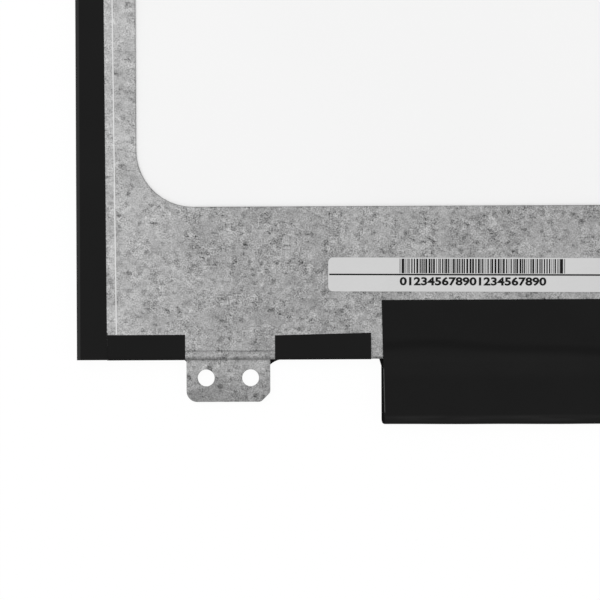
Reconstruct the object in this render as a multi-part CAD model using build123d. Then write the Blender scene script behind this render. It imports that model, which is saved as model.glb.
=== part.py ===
from build123d import *
import os

# A slim 15.6-inch laptop screen panel, lying face down with its back up.
# X runs along the panel, Y runs from the circuit board's edge to the far edge, and Z
# from the front face to the back. The origin is under the middle of the whole panel,
# at the front face. Lengths are in millimetres.

os.makedirs("parts", exist_ok=True)

# Picture, and the borders that make it up to the body, which is measured over its tapes
active_width = 344.16
active_height = 193.59
border_side = 7.67
border_below = 7.21
border_above = 5.30

# What stands out past the body's long edges
board_reach = 10.7
tab_reach = 7.0

# Thickness of each layer, from the front
polariser_t = 0.18
glass_t = 0.40
gasket_t = 0.06
ledge_t = 0.30
prism_t = 0.13
diffuser_t = 0.10
guide_t = 0.55
reflector_t = 0.19
plate_t = 0.30

# Glass round the picture
filter_border_side = 3.8
filter_border_top = 2.6
filter_border_bottom = 2.4
bond_ledge = 3.9
front_polariser_inset = 0.8
rear_polariser_border = 0.7
gasket_inset = 0.4
gasket_gap = 0.2

# Backlight
sheet_gap = 0.4
guide_gap = 0.7
guide_bottom_border = 2.6
ear_length = 8.0
ear_reach = 1.2
ear_gap = 0.25
ear_pitch = 120.0
led_count = 40
led_length = 3.0
led_depth = 0.85
led_height = 0.50
led_gap = 0.10
led_flex_t = 0.12
led_flex_overlap = 1.9
led_flex_apron = 2.2
led_tail_width = 9.0
led_tail_from_side = 117.75
led_tail_gap = 0.25
led_tail_bend = 0.75
led_tail_drop_from = 1.0
led_tail_drop_to = 2.6

# Moulded frame
frame_side_wall = 3.75
frame_top_wall = 2.25
frame_bottom_wall = 1.75
frame_edge_round = 0.20
cell_gap = 0.25
ledge_border = 1.2
fit_gap = 0.05
web_long = 2.3
web_short = 0.65
web_drop = 0.90
shoulder_length = 1.05
shoulder_drop = 1.1
shoulder_slope = 0.3

# Back plate
flange_depth = 1.30
bend_radius = 0.60
corner_relief = 1.6
window_side = 10.05
window_bottom = 25.5
window_top = 12.0
window_radius = 9.5

# Screw tabs
tab_from_side = 25.2
tab_width = 13.97
tab_corner = 1.8
tab_cut = 1.55
tab_cut_round = 0.9
tab_step = 1.20
tab_inner_bend = 0.15
tab_relief = 0.5
hole_pitch = 7.4
hole_diameter = 2.8
hole_out = 2.99

# Edge tapes: the left ones are laid a little askew, wider at the circuit board's end
tape_t = 0.08
clear_t = 0.05
tape_lip = 1.6
left_tape_low = 4.95
left_tape_high = 3.9
right_tape_width = 4.8
left_clear_low = 6.6
left_clear_high = 5.0
right_clear_width = 6.4
clear_end_z = 0.6
short_tape_end_z = 1.30
edge_tape_width = 4.15
inner_tape_near = 4.0
inner_tape_far = 4.35
inner_tape_length = 16.0
tape_to_tab_outer = 0.165
tape_to_tab_inner = 0.815

# Film round the circuit board
film_t = 0.12
film_from_side = 50.9
film_on_plate = 9.97
film_lift_at = 2.7
film_lift_run = 3.1
film_rise = 0.34
film_bend = 1.5
film_roll = 1.15
film_front_z = 0.20
film_front_on_glass = 4.55
film_front_extra = 0.25

# Circuit board and the flexes that carry it
board_t = 0.60
board_end_gap = 0.9
board_edge_gap = 0.40
board_body_gap = 0.5
board_corner = 0.6
part_chamfer = 0.15
flex_t = 0.08
flex_width = 26.0
flex_pitch = 62.0
flex_count = 4
flex_bond = 1.0
flex_on_board = 2.4
driver_length = 22.0
driver_width = 1.4
driver_t = 0.30

# Parts on the board: length, width and height of each kind
controller_size = (7.0, 7.0, 0.85)
memory_size = (5.0, 4.0, 0.75)
power_size = (4.0, 4.0, 0.75)
inductor_size = (4.2, 4.2, 1.70)
capacitor_size = (1.6, 0.8, 0.80)
resistor_size = (1.0, 0.5, 0.35)
fuse_size = (3.2, 1.6, 0.60)
controller_x = 24.0
memory_x = 37.0
power_from_side = 79.75
driver_from_side = 97.75
inductor_pitch = 9.0
capacitor_count = 16
capacitor_pitch = 3.6
resistor_count = 22
resistor_pitch = 2.6
small_parts_x = 18.0
small_parts_y = 4.35
fuse_from_side = 91.75
socket_depth = 2.6
socket_height = 1.0
socket_wall = 1.0
socket_from_body = 3.2

# Edge connector
connector_from_side = 68.5
connector_length = 21.4
connector_height = 1.25
connector_edge_gap = 0.1
shell_t = 0.15
shell_depth = 3.7
housing_depth = 2.2
housing_tail = 0.5
tongue_t = 0.25
tongue_length = 16.0
tongue_reach = 1.6
contact_count = 30
contact_pitch = 0.5
contact_width = 0.25
contact_t = 0.10
contact_tail = 0.8
latch_length = 2.0
latch_width = 0.8
latch_count = 4
film_notch_gap = 1.0

# Label strip
label_from_side = 41.9
label_above_edge = 11.3
label_length = 52.0
label_height = 5.65
label_corner = 0.85
label_t = 0.08

# Levels of the stack
z_filter = polariser_t
z_tft = z_filter + glass_t
z_rear = z_tft + glass_t
z_ledge = z_rear + gasket_t
z_sheets = z_ledge + ledge_t
z_lower_prism = z_sheets + prism_t
z_diffuser = z_lower_prism + prism_t
z_guide = z_diffuser + diffuser_t
z_reflector = z_guide + guide_t
z_plate = z_reflector + reflector_t
z_back = z_plate + plate_t
z_flange = z_back - flange_depth
z_tab = z_plate - tab_step
z_board = z_tft
z_parts = z_board + board_t
z_wall_slot = z_board + fit_gap
z_frame_step = z_flange - fit_gap

# Edges of the body over its tapes, and of the plate under them
side = active_width / 2 + border_side
body_height = border_below + active_height + border_above
low = -(body_height + board_reach + tab_reach) / 2
bottom = low + board_reach
top = bottom + body_height
plate_side = side - clear_t - tape_t
plate_bottom = bottom + tape_t
plate_top = top - tape_t
core_inset = plate_t + fit_gap

# Edges of the picture, the glass and the light guide
active_side = active_width / 2
active_bottom = bottom + border_below
active_top = active_bottom + active_height
filter_side = active_side + filter_border_side
filter_bottom = active_bottom - filter_border_bottom
filter_top = active_top + filter_border_top
tft_bottom = filter_bottom - bond_ledge
pocket_side = plate_side - core_inset - frame_side_wall
pocket_bottom = plate_bottom + core_inset + frame_bottom_wall
pocket_top = plate_top - core_inset - frame_top_wall
guide_bottom = active_bottom - guide_bottom_border
led_flex_top = guide_bottom + led_flex_overlap
led_flex_bottom = guide_bottom - led_flex_apron

# Edges of the film, the board and the tabs
film_side = side - film_from_side
board_side = film_side - board_end_gap
board_bottom = low + film_t + board_edge_gap
board_top = bottom - board_body_gap
board_middle = (board_bottom + board_top) / 2
tab_x = side - tab_from_side
tab_half = tab_width / 2
connector_x = side - connector_from_side
fuse_x = side - fuse_from_side
power_x = power_from_side - side
driver_x = driver_from_side - side
led_tail_x = led_tail_from_side - side
connector_mouth = board_bottom + connector_edge_gap
label_x = -side + label_from_side + label_length / 2
label_y = bottom + label_above_edge + label_height / 2


def block(x0, x1, y0, y1, z0, z1):
    """A plain block between two corners."""
    middle = Pos((x0 + x1) / 2, (y0 + y1) / 2, (z0 + z1) / 2)
    return middle * Box(x1 - x0, y1 - y0, z1 - z0)


def sheet(half_width, y0, y1, z0, z1):
    """A flat layer that reaches as far left as right."""
    return block(-half_width, half_width, y0, y1, z0, z1)


def left_twin(shape):
    """The same shape at the other end of the panel."""
    return mirror(shape, Plane.YZ)


def upper_twin(shape):
    """The same shape at the body's far long edge."""
    return Pos(0, bottom + top, 0) * mirror(shape, Plane.XZ)


def four_twins(shape):
    """A shape near the right end of the lower edge, and its three twins."""
    pair = [shape, left_twin(shape)]
    return pair + [upper_twin(one) for one in pair]


def top_edges(solid):
    return solid.edges().group_by(Axis.Z)[-1]


def bottom_edges(solid):
    return solid.edges().group_by(Axis.Z)[0]


def upright_edges(solid):
    return solid.edges().filter_by(Axis.Z)


def along_x(profile, length):
    """A profile drawn as (Y, Z), extruded to both sides of X = 0."""
    return extrude(Plane.YZ * profile, amount=length / 2, both=True)


# The cell


def front_polariser():
    inset = front_polariser_inset
    return sheet(filter_side - inset, filter_bottom + inset, filter_top - inset, 0, z_filter)


def colour_filter_glass():
    return sheet(filter_side, filter_bottom, filter_top, z_filter, z_tft)


def tft_glass():
    return sheet(filter_side, tft_bottom, filter_top, z_tft, z_rear)


def rear_polariser():
    border = rear_polariser_border
    return sheet(
        active_side + border, active_bottom - border, active_top + border, z_rear, z_rear + polariser_t
    )


def cell_gasket_tape():
    hole = ledge_border + gasket_gap
    ring = sheet(
        filter_side - gasket_inset, tft_bottom + gasket_inset, filter_top - gasket_inset, z_rear, z_ledge
    )
    return ring - sheet(
        active_side + hole, active_bottom - hole, active_top + hole, z_rear, z_ledge
    )


def flex_centres():
    first = -(flex_count - 1) / 2
    return [(first + i) * flex_pitch for i in range(flex_count)]


def driver_chips():
    y = (filter_bottom + tft_bottom + flex_bond) / 2
    half = driver_width / 2
    chips = []
    for x in flex_centres():
        x0, x1 = x - driver_length / 2, x + driver_length / 2
        chips.append(block(x0, x1, y - half, y + half, z_tft - driver_t, z_tft))
    return chips


def panel_flexes():
    flexes = []
    for x in flex_centres():
        x0, x1 = x - flex_width / 2, x + flex_width / 2
        y0, y1 = board_top - flex_on_board, tft_bottom + flex_bond
        flexes.append(block(x0, x1, y0, y1, z_board - flex_t, z_board))
    return flexes


# The backlight


def ears(x0, x1, margin, z0, z1):
    """Four blocks from x0 out to x1, two at each end, where the ears lie or their slots."""
    middle = (active_bottom + active_top) / 2
    half = ear_length / 2 + margin
    right = [
        block(x0, x1, middle + step - half, middle + step + half, z0, z1)
        for step in (-ear_pitch / 2, ear_pitch / 2)
    ]
    return right + [left_twin(one) for one in right]


def eared_sheet(half_width, y0, y1, z0, z1):
    """A layer of the backlight, with ears that keep it from sliding in the frame."""
    tip = half_width + ear_reach
    return sheet(half_width, y0, y1, z0, z1) + ears(half_width, tip, 0, z0, z1)


def optical_sheet(z0, thickness):
    gap = sheet_gap
    return eared_sheet(pocket_side - gap, guide_bottom + gap, pocket_top - gap, z0, z0 + thickness)


def light_guide():
    return eared_sheet(
        pocket_side - guide_gap, guide_bottom, pocket_top - guide_gap, z_guide, z_reflector
    )


def reflector_sheet():
    y0 = led_flex_top + sheet_gap / 2
    return eared_sheet(pocket_side - sheet_gap, y0, pocket_top - sheet_gap, z_reflector, z_plate)


def led_tail_path():
    """Middle line of the flex's tail, out over the frame and down into its socket."""
    z_strip = z_reflector + led_flex_t / 2
    return FilletPolyline(
        (led_flex_bottom, z_strip),
        (bottom - led_tail_drop_from, z_strip),
        (bottom - led_tail_drop_to, socket_slot_z()),
        (bottom - socket_from_body - socket_depth / 2, socket_slot_z()),
        radius=[led_tail_bend, led_tail_bend],
    )


def socket_slot_z():
    return z_parts + socket_height / 2


def led_flex():
    z1 = z_reflector + led_flex_t
    strip = sheet(pocket_side - guide_gap, led_flex_bottom, led_flex_top, z_reflector, z1)
    tail = along_x(trace(led_tail_path(), led_flex_t), led_tail_width)
    return strip + Pos(led_tail_x, 0, 0) * tail


def leds():
    pitch = 2 * (pocket_side - guide_gap) / led_count
    y1 = guide_bottom - led_gap
    row = []
    for i in range(led_count):
        x = (i - (led_count - 1) / 2) * pitch
        x0, x1 = x - led_length / 2, x + led_length / 2
        row.append(block(x0, x1, y1 - led_depth, y1, z_reflector - led_height, z_reflector))
    return row


def led_adhesive_tape():
    return sheet(
        pocket_side - guide_gap, led_flex_bottom, led_flex_top, z_reflector + led_flex_t, z_plate
    )


# The moulded frame


def tangent_radius(length, drop):
    """Radius of the arc that leaves a straight edge and is so far off it after a length."""
    return (length**2 + drop**2) / (2 * drop)


def tab_web():
    """A pad under the right tab's root, with a concave web beside each edge of the tab."""
    x0, x1 = tab_x - tab_half, tab_x + tab_half
    y0, y1 = plate_bottom - web_drop, plate_bottom
    outline = make_face(
        [
            Line((x0 - web_long, y1), (x1 + web_short, y1)),
            RadiusArc((x1 + web_short, y1), (x1, y0), -tangent_radius(web_short, web_drop)),
            Line((x1, y0), (x0, y0)),
            RadiusArc((x0, y0), (x0 - web_long, y1), -tangent_radius(web_long, web_drop)),
        ]
    )
    return extrude(Pos(0, 0, z_wall_slot) * outline, amount=z_tab - z_wall_slot)


def film_shoulder():
    """The sloped shoulder at the right end of the film."""
    x0 = film_side - shoulder_length / 2
    x1 = film_side + shoulder_length / 2
    y0, y1 = plate_bottom - shoulder_drop, plate_bottom
    outline = make_face(
        Polyline((x0, y1), (x0, y0), (x1 - shoulder_slope, y0), (x1, y1), close=True)
    )
    return extrude(Pos(0, 0, z_wall_slot) * outline, amount=z_frame_step - z_wall_slot)


def mould_frame():
    foot = sheet(plate_side, plate_bottom, plate_top, tape_t, z_frame_step)
    foot = fillet(bottom_edges(foot), frame_edge_round)
    core = sheet(
        plate_side - core_inset, plate_bottom + core_inset, plate_top - core_inset, z_ledge, z_plate
    )
    core = fillet(top_edges(core), bend_radius - plate_t)
    shoulder = film_shoulder()
    frame = foot + core + four_twins(tab_web()) + shoulder + left_twin(shoulder)

    cell = sheet(
        filter_side + cell_gap, tft_bottom - cell_gap, filter_top + cell_gap, 0, z_ledge
    )
    view = sheet(
        active_side + ledge_border, active_bottom - ledge_border, active_top + ledge_border, 0, z_back
    )
    pocket = sheet(pocket_side, pocket_bottom, pocket_top, z_sheets, z_back)
    slot_end = pocket_side - sheet_gap + ear_reach + ear_gap
    ear_slots = ears(pocket_side, slot_end, ear_gap, z_sheets, z_back)
    flex_slot = sheet(film_side + film_front_extra + fit_gap, low, tft_bottom, 0, z_wall_slot)
    tail_slot = block(
        led_tail_x - led_tail_width / 2 - led_tail_gap,
        led_tail_x + led_tail_width / 2 + led_tail_gap,
        low,
        pocket_bottom + led_tail_gap,
        z_reflector - fit_gap,
        z_back,
    )
    reach = tab_half + tab_relief + fit_gap
    tab_slot = block(
        tab_x - reach, tab_x + reach, plate_bottom, plate_bottom + core_inset, z_tab, z_back
    )
    return frame - cell - view - pocket - ear_slots - flex_slot - tail_slot - four_twins(tab_slot)


# The back plate


def end_corners(tab):
    """The upright edges at a tab's end, the one nearest the panel's middle first."""
    return upright_edges(tab).group_by(Axis.Y)[0].sort_by(Axis.X)


def screw_tab():
    """The right tab of the lower edge, stepped down, with its inner corner cut flatter."""
    mid = plate_t / 2
    path = FilletPolyline(
        (plate_bottom + 2 * bend_radius, z_plate + mid),
        (plate_bottom + mid, z_plate + mid),
        (plate_bottom + mid, z_tab + mid),
        (bottom - tab_reach, z_tab + mid),
        radius=[bend_radius - mid, tab_inner_bend + mid],
    )
    tab = along_x(trace(path, plate_t), tab_width)
    tab = fillet(end_corners(tab)[-1], tab_corner)
    tab = chamfer(end_corners(tab)[0], tab_cut)
    inner_corner = Vertex(-tab_half, bottom - tab_reach, z_tab + mid)
    tab = fillet(upright_edges(tab).sort_by_distance(inner_corner)[:2], tab_cut_round)
    for x in (-hole_pitch / 2, hole_pitch / 2):
        hole = Cylinder(hole_diameter / 2, 2 * plate_t)
        tab -= Pos(x, bottom - hole_out, z_tab + mid) * hole
    return Pos(tab_x, 0, 0) * tab


def back_plate():
    tray = sheet(plate_side, plate_bottom, plate_top, z_flange, z_back)
    tray = fillet(top_edges(tray), bend_radius)
    inside = sheet(
        plate_side - plate_t, plate_bottom + plate_t, plate_top - plate_t, z_flange - plate_t, z_plate
    )
    tray -= fillet(top_edges(inside), bend_radius - plate_t)

    x0, x1 = plate_side - corner_relief, side
    corner = block(x0, x1, low, plate_bottom + corner_relief, z_flange, z_plate)
    window = extrude(
        Pos(0, (bottom + window_bottom + top - window_top) / 2, z_plate)
        * RectangleRounded(
            2 * (side - window_side), body_height - window_bottom - window_top, window_radius
        ),
        amount=plate_t,
    )
    reach = tab_half + tab_relief
    relief = block(
        tab_x - reach, tab_x + reach, low, plate_bottom + plate_t, z_flange, z_back - bend_radius
    )
    tail_notch = block(
        led_tail_x - led_tail_width / 2 - 2 * led_tail_gap,
        led_tail_x + led_tail_width / 2 + 2 * led_tail_gap,
        low,
        plate_bottom + bend_radius,
        z_flange,
        z_plate,
    )
    plate = tray - four_twins(corner) - window - four_twins(relief) - tail_notch
    return plate + four_twins(screw_tab())


# Edge tapes


def folded_tape(length, near, far, thickness, lift, side_end):
    """A tape folded round the edge X = 0 of a body on the +X side, from Y = 0 to length.

    near and far are its widths on the back at its two ends. lift is what lies under it.
    It ends on the side at the height side_end, or where that is 0, goes in under the front.
    """
    x = -(lift + thickness / 2)
    z = z_back + lift + thickness / 2
    bend = bend_radius + lift + thickness / 2
    back_leg = [(x, z), (max(near, far), z)]
    if side_end:
        path = FilletPolyline((x, side_end), *back_leg, radius=[bend])
    else:
        fold = frame_edge_round + lift + thickness / 2
        path = FilletPolyline(
            (tape_lip, thickness / 2), (x, thickness / 2), *back_leg, radius=[fold, bend]
        )
    tape = extrude(Plane.XZ * trace(path, thickness), amount=-length)
    if near != far:
        slant = Polyline((near, 0), (near + far, 0), (near + far, length), (far, length), close=True)
        tape -= extrude(Pos(0, 0, z_back) * make_face(slant), amount=lift + thickness)
    return tape


def edge_tape(near, far):
    """A black tape along the whole left edge; near is its width at the board's end."""
    tape = folded_tape(plate_top - plate_bottom, near, far, tape_t, clear_t, 0)
    return Pos(-plate_side, plate_bottom, 0) * tape


def clear_strip(near, far):
    """The clear strip under the left edge's tape, between the short tapes of its corners."""
    y0 = plate_bottom + edge_tape_width + fit_gap
    y1 = plate_top - edge_tape_width - fit_gap
    return Pos(-plate_side, y0, 0) * folded_tape(y1 - y0, near, far, clear_t, 0, clear_end_z)


def lower_tape(x0, x1, near, far):
    """A short tape along the lower edge from x0 to x1; near is its width at x1."""
    tape = folded_tape(x1 - x0, near, far, tape_t, 0, short_tape_end_z)
    return Pos(x1, plate_bottom, 0) * Rot(0, 0, 90) * tape


def corner_tape(covered):
    """The tape from the lower edge's right tab to a side tape that covers so much."""
    x0 = tab_x + tab_half + tape_to_tab_outer
    return lower_tape(x0, plate_side - covered, edge_tape_width, edge_tape_width)


def corner_tapes():
    narrowing = (left_tape_low - left_tape_high) * edge_tape_width / (plate_top - plate_bottom)
    right = corner_tape(right_tape_width)
    left = left_twin(corner_tape(left_tape_low))
    upper_left = left_twin(corner_tape(left_tape_high + narrowing))
    return [right, left, upper_twin(right), upper_twin(upper_left)]


def inner_tape():
    """The short tape between the left tab of the lower edge and the board's film."""
    x0 = -tab_x + tab_half + tape_to_tab_inner
    return lower_tape(x0, x0 + inner_tape_length, inner_tape_far, inner_tape_near)


def top_middle_tape():
    half = tab_x - tab_half - tape_to_tab_inner
    return upper_twin(lower_tape(-half, half, edge_tape_width, edge_tape_width))


# The circuit board


def control_board():
    board = sheet(board_side, board_bottom, board_top, z_board, z_parts)
    return fillet(upright_edges(board), board_corner)


def on_board(size, x, y=board_middle, corner=0.0):
    """A block-shaped part that sits on the board."""
    length, width, height = size
    part = block(x - length / 2, x + length / 2, y - width / 2, y + width / 2, z_parts, z_parts + height)
    if corner:
        part = fillet(upright_edges(part), corner)
    return part


def power_inductors():
    corner = inductor_size[0] / 4
    places = (power_x - inductor_pitch, power_x + inductor_pitch)
    coils = [on_board(inductor_size, x, corner=corner) for x in places]
    return [chamfer(top_edges(coil), part_chamfer) for coil in coils]


def row_of(size, count, pitch, y):
    first = small_parts_x - (count - 1) / 2 * pitch
    return [on_board(size, first + i * pitch, y) for i in range(count)]


def led_flex_socket():
    x0 = led_tail_x - led_tail_width / 2 - socket_wall
    x1 = led_tail_x + led_tail_width / 2 + socket_wall
    y1 = bottom - socket_from_body
    body = block(x0, x1, y1 - socket_depth, y1, z_parts, z_parts + socket_height)
    body = chamfer(top_edges(body), part_chamfer)
    z0 = socket_slot_z() - led_flex_t / 2
    slot = block(
        x0 + socket_wall, x1 - socket_wall, y1 - socket_depth / 2, y1, z0, z0 + led_flex_t
    )
    return body - slot


# The edge connector


def connector_shell():
    x = connector_length / 2
    y0, y1 = connector_mouth, connector_mouth + shell_depth
    z0, z1 = z_parts, z_parts + connector_height
    shell = block(-x, x, y0, y1, z0, z1)
    shell = fillet(shell.edges().filter_by(Axis.Y), shell_t)
    shell -= block(-x + shell_t, x - shell_t, y0, y1, z0 + shell_t, z1 - shell_t)
    pitch = tongue_length / latch_count
    for i in range(latch_count):
        at = Pos((i - (latch_count - 1) / 2) * pitch, y0 + shell_depth / 3, z1)
        shell -= at * Box(latch_length, latch_width, 4 * shell_t)
    return Pos(connector_x, 0, 0) * shell


def contact_line():
    """Middle line of one contact: along the tongue, down behind the housing, and out.

    Both bends are cut at 45 degrees, because there are thirty of them and they are tiny.
    """
    z_line = z_parts + connector_height / 2 + tongue_t / 2 + contact_t / 2
    z_foot = z_parts + contact_t / 2
    y_tip = connector_mouth + shell_depth + housing_tail - housing_depth - tongue_reach
    y_back = connector_mouth + shell_depth + housing_tail
    y_bend = y_back + contact_t / 2
    y_leg = y_bend + contact_t
    return Polyline(
        (y_tip + contact_t, z_line),
        (y_bend, z_line),
        (y_leg, z_line - contact_t),
        (y_leg, z_foot + contact_t),
        (y_leg + contact_t, z_foot),
        (y_back + contact_tail, z_foot),
    )


def connector_contacts():
    one = along_x(trace(contact_line(), contact_t), contact_width)
    first = connector_x - (contact_count - 1) / 2 * contact_pitch
    return [Pos(first + i * contact_pitch, 0, 0) * one for i in range(contact_count)]


def connector_housing():
    x = connector_length / 2 - shell_t
    y1 = connector_mouth + shell_depth + housing_tail
    y0 = y1 - housing_depth
    z0, z1 = z_parts + shell_t, z_parts + connector_height - shell_t
    body = block(-x, x, y0, y1, z0, z1)
    z_mid = z_parts + connector_height / 2
    body += sheet(tongue_length / 2, y0 - tongue_reach, y0, z_mid - tongue_t / 2, z_mid + tongue_t / 2)
    z_groove = z_mid + tongue_t / 2
    half = contact_width / 2
    for i in range(contact_count):
        x_pin = (i - (contact_count - 1) / 2) * contact_pitch
        body -= block(x_pin - half, x_pin + half, y0, y1, z_groove, z_groove + contact_t)
    return Pos(connector_x, 0, 0) * body


# The film and the label


def board_cover_film():
    """One black film: stuck to the plate, laid over the board and folded in under it."""
    mid = film_t / 2
    z_low_leg = z_back + mid
    z_high_leg = z_low_leg + film_rise
    path = FilletPolyline(
        (bottom + film_on_plate, z_low_leg),
        (bottom + film_lift_at, z_low_leg),
        (bottom + film_lift_at - film_lift_run, z_high_leg),
        (low + mid, z_high_leg),
        (low + mid, film_front_z),
        (bottom + film_front_on_glass, film_front_z),
        radius=[film_bend, film_bend, film_roll, film_roll],
    )
    profile = trace(path, film_t)
    film = along_x(profile, 2 * film_side)
    longer = along_x(profile, 2 * (film_side + film_front_extra))
    front_leg = longer & sheet(side, low, top, 0, z_board - flex_t)
    reach = connector_length / 2 + film_notch_gap
    y1 = connector_mouth + shell_depth + housing_tail + contact_tail + film_notch_gap
    notch = block(
        connector_x - reach, connector_x + reach, low, y1, z_board - flex_t, z_back + 2 * film_rise + film_t
    )
    return film + front_leg - notch


def label_strip():
    outline = RectangleRounded(label_length, label_height, label_corner)
    return extrude(Pos(label_x, label_y, z_back) * outline, amount=label_t)


pieces = {
    "front_polariser": front_polariser(),
    "colour_filter_glass": colour_filter_glass(),
    "tft_glass": tft_glass(),
    "rear_polariser": rear_polariser(),
    "cell_gasket_tape": cell_gasket_tape(),
    "driver_chips": driver_chips(),
    "panel_flexes": panel_flexes(),
    "upper_prism_sheet": optical_sheet(z_sheets, prism_t),
    "lower_prism_sheet": optical_sheet(z_lower_prism, prism_t),
    "diffuser_sheet": optical_sheet(z_diffuser, diffuser_t),
    "light_guide": light_guide(),
    "reflector_sheet": reflector_sheet(),
    "led_flex": led_flex(),
    "leds": leds(),
    "led_adhesive_tape": led_adhesive_tape(),
    "mould_frame": mould_frame(),
    "back_plate": back_plate(),
    "left_edge_tape": edge_tape(left_tape_low, left_tape_high),
    "right_edge_tape": left_twin(edge_tape(right_tape_width, right_tape_width)),
    "left_clear_strip": clear_strip(left_clear_low, left_clear_high),
    "right_clear_strip": left_twin(clear_strip(right_clear_width, right_clear_width)),
    "corner_tapes": corner_tapes(),
    "inner_tapes": [inner_tape(), left_twin(inner_tape())],
    "top_middle_tape": top_middle_tape(),
    "control_board": control_board(),
    "timing_controller": on_board(controller_size, controller_x),
    "memory_chip": on_board(memory_size, memory_x),
    "power_chip": on_board(power_size, power_x),
    "backlight_driver": on_board(power_size, driver_x),
    "power_inductors": power_inductors(),
    "capacitors": row_of(capacitor_size, capacitor_count, capacitor_pitch, board_middle - small_parts_y),
    "resistors": row_of(resistor_size, resistor_count, resistor_pitch, board_middle + small_parts_y),
    "fuse": on_board(fuse_size, fuse_x),
    "led_flex_socket": led_flex_socket(),
    "connector_shell": connector_shell(),
    "connector_housing": connector_housing(),
    "connector_contacts": connector_contacts(),
    "board_cover_film": board_cover_film(),
    "label_strip": label_strip(),
}

for name, shape in pieces.items():
    if isinstance(shape, list):
        shape = Compound(children=[solid for one in shape for solid in one.solids()])
    export_step(shape, f"parts/{name}.step")
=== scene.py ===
# %% [markdown]
# # The back of a laptop screen panel
# A screen panel is a flat stack: glass and films at the front, a light guide behind them, and a thin
# steel plate that closes the back. It lies here with its front down, as it does on a repair bench.
# The solid model gives every piece its shape and place. This script gives each piece its finish,
# and makes two pieces again: the black film over the board, which is too soft for plain solids, and
# the label, which was stuck on a little askew.

# %% Load the panel
import math

import bmesh
import bpy
from mathutils import Matrix, Vector, noise


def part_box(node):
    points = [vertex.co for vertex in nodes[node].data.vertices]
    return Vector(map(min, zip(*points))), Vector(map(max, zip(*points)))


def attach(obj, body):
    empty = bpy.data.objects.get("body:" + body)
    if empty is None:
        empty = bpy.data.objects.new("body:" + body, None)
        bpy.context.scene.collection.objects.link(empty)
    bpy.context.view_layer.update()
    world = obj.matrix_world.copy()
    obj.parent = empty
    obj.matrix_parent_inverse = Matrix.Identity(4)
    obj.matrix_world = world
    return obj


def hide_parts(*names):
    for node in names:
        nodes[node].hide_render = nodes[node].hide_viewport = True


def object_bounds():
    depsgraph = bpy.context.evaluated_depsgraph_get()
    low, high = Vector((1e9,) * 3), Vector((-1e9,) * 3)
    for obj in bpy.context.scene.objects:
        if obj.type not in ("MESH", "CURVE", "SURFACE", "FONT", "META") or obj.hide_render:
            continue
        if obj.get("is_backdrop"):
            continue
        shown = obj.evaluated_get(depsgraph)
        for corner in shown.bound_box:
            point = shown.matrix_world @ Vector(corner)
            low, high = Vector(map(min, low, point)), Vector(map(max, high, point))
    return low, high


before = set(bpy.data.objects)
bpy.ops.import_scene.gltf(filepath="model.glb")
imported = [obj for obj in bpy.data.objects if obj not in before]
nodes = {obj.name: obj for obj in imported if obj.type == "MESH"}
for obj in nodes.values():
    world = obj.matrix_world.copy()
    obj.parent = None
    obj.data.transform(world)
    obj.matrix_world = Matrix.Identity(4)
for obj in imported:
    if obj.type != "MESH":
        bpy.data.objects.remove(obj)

MM = 0.001
cad_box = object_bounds()
print("loaded", len(nodes), "pieces;", [round(v / MM, 2) for v in cad_box[1] - cad_box[0]], "mm over all")

# %% [markdown]
# ## The camera
# The picture was taken from straight above, square to the panel but for a quarter of a degree.
# A long lens far away keeps the two sides of every edge out of sight, as a copy stand does. The
# camera looks at the lower left corner, where the tab, the tapes and the film's end all show.

# %% Camera
PICTURE_WIDTH = 99.8 * MM
LENS = 180.0
SENSOR = 36.0
TURN = math.radians(-0.28)
CENTRE_FROM_LEFT_EDGE = 37.2 * MM
CENTRE_FROM_LOWER_EDGE = 9.93 * MM

left_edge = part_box("left_edge_tape")[0].x
lower_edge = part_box("corner_tapes")[0].y
back_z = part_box("back_plate")[1].z

camera = bpy.data.objects.new("camera", bpy.data.cameras.new("camera"))
bpy.context.scene.collection.objects.link(camera)
camera.data.lens = LENS
camera.data.sensor_width = SENSOR
camera.location = (
    left_edge + CENTRE_FROM_LEFT_EDGE,
    lower_edge + CENTRE_FROM_LOWER_EDGE,
    back_z + PICTURE_WIDTH * LENS / SENSOR,
)
camera.rotation_euler = (0.0, 0.0, TURN)
bpy.context.scene.camera = camera
print("camera over", [round(v / MM, 2) for v in camera.location], "mm")

# %% [markdown]
# ## Writing a material like a sum
# A finish is a chain of small steps: take the place on the surface, look up a grain, make it
# stronger, add it to a colour. Written as nodes that is hard to read, so a small class stands for
# one socket and lets plain Python signs add the nodes. One method adds every other kind of node.


# %% Shader helpers
class Wire:
    """One output socket in a material, which can be used in a sum like a number."""

    def __init__(self, finish, socket):
        self.finish = finish
        self.socket = socket

    def _math(self, operation, first, second):
        return self.finish.add("ShaderNodeMath", {"operation": operation}, {0: first, 1: second})

    def __add__(self, other):
        return self._math("ADD", self, other)

    def __radd__(self, other):
        return self._math("ADD", other, self)

    def __sub__(self, other):
        return self._math("SUBTRACT", self, other)

    def __rsub__(self, other):
        return self._math("SUBTRACT", other, self)

    def __mul__(self, other):
        return self._math("MULTIPLY", self, other)

    def __rmul__(self, other):
        return self._math("MULTIPLY", other, self)

    def __truediv__(self, other):
        return self._math("DIVIDE", self, other)

    def __rtruediv__(self, other):
        return self._math("DIVIDE", other, self)

    def __pow__(self, other):
        return self._math("POWER", self, other)

    def __abs__(self):
        return self._math("ABSOLUTE", self, 0.0)

    def at_least(self, other):
        return self._math("MAXIMUM", self, other)

    def at_most(self, other):
        return self._math("MINIMUM", self, other)

    def cosine(self):
        return self._math("COSINE", self, 0.0)

    def between(self, low, high):
        """0 below low, 1 above high, and a soft step from one to the other."""
        return self.finish.add(
            "ShaderNodeMapRange", {"interpolation_type": "SMOOTHSTEP"}, {0: self, 1: low, 2: high}
        )


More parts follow.
